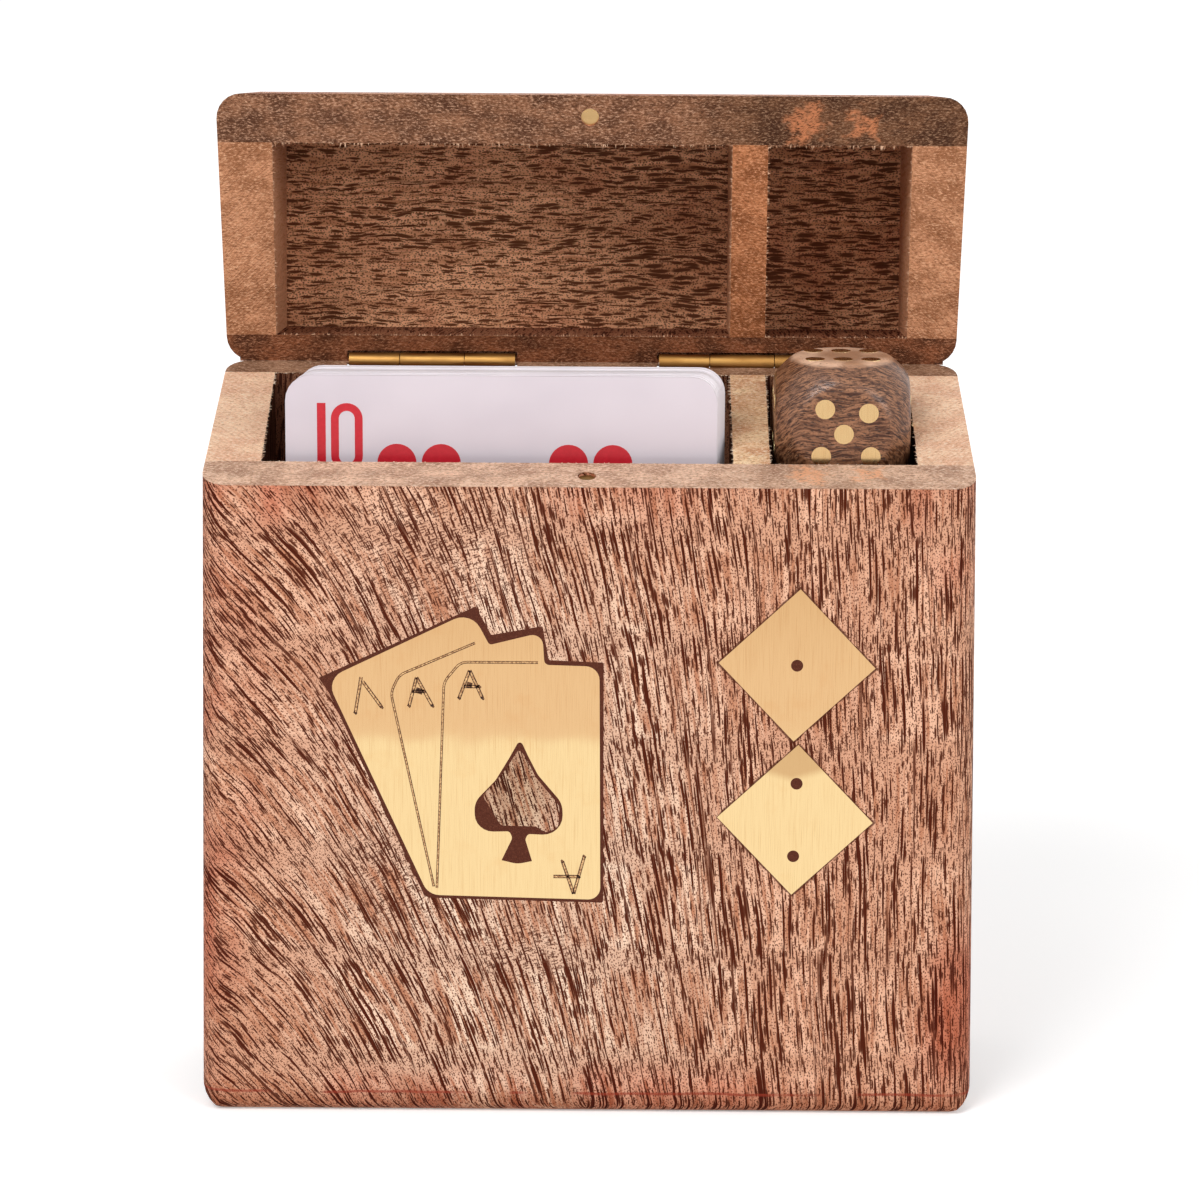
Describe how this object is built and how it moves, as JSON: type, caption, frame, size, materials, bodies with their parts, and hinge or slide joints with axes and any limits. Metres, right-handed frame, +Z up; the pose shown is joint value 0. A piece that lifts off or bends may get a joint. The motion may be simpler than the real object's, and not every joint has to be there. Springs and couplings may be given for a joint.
{
  "type": "card and dice box",
  "caption": "Wooden box with slanted hinged lid, card and dice bays, brass inlays, and the cards and dice that it holds.",
  "frame": {"origin": "centre of the underside of the body", "axes": "+Z up from the surface the box stands on, the inlaid front faces -Y, +X to the right seen from the front"},
  "size_m": [0.1036, 0.0666, 0.1334],
  "materials": {
    "board_wood": "satin, open pores",
    "strip_wood": "sawn and lightly sanded",
    "inlay_brass": "brushed upright",
    "filler": "matt lac filler",
    "magnet": "dull",
    "hinge_brass": "dull rolled sheet",
    "nail_brass": "plain",
    "card_face": "coated paper",
    "card_edge": "cut paper",
    "die_wood": "satin",
    "pip_brass": "sanded flush"
  },
  "bodies": {
    "box_body": {"body_front_board": "board_wood", "body_back_board": "board_wood", "body_left_strip": "strip_wood", "body_right_strip": "strip_wood", "body_floor_strip": "strip_wood", "body_divider": "strip_wood", "fan_inlay": "inlay_brass", "die_inlay_upper": "inlay_brass", "die_inlay_lower": "inlay_brass", "inlay_filler": "filler", "body_magnet": "magnet", "hinge_left_body_leaf": "hinge_brass", "hinge_right_body_leaf": "hinge_brass", "hinge_left_pin": "hinge_brass", "hinge_right_pin": "hinge_brass", "body_hinge_nails": "nail_brass"},
    "lid": {"lid_front_board": "board_wood", "lid_back_board": "board_wood", "lid_left_strip": "strip_wood", "lid_right_strip": "strip_wood", "lid_top_strip": "strip_wood", "lid_divider": "strip_wood", "lid_magnet": "magnet", "hinge_left_lid_leaf": "hinge_brass", "hinge_right_lid_leaf": "hinge_brass", "lid_hinge_nails": "nail_brass"},
    "card_deck": {"card_front": "card_face", "card_stack": "card_edge"},
    "dice": {"die_1": "die_wood", "die_2": "die_wood", "die_3": "die_wood", "die_4": "die_wood", "die_5": "die_wood", "die_pips": "pip_brass"}
  },
  "joints": [
    {"name": "lid_hinge", "type": "hinge", "parent": "box_body", "child": "lid", "pos_m": [0, 0.0183, 0.09591], "axis": [1, 0, 0], "range_deg": [0, 96.65]},
    {"name": "deck_lift", "type": "slide", "parent": "box_body", "child": "card_deck", "axis": [0, 0, 1], "range_m": [0, 0.006]},
    {"name": "dice_lift", "type": "slide", "parent": "box_body", "child": "dice", "axis": [0, 0, 1], "range_m": [0, 0.003]}
  ]
}
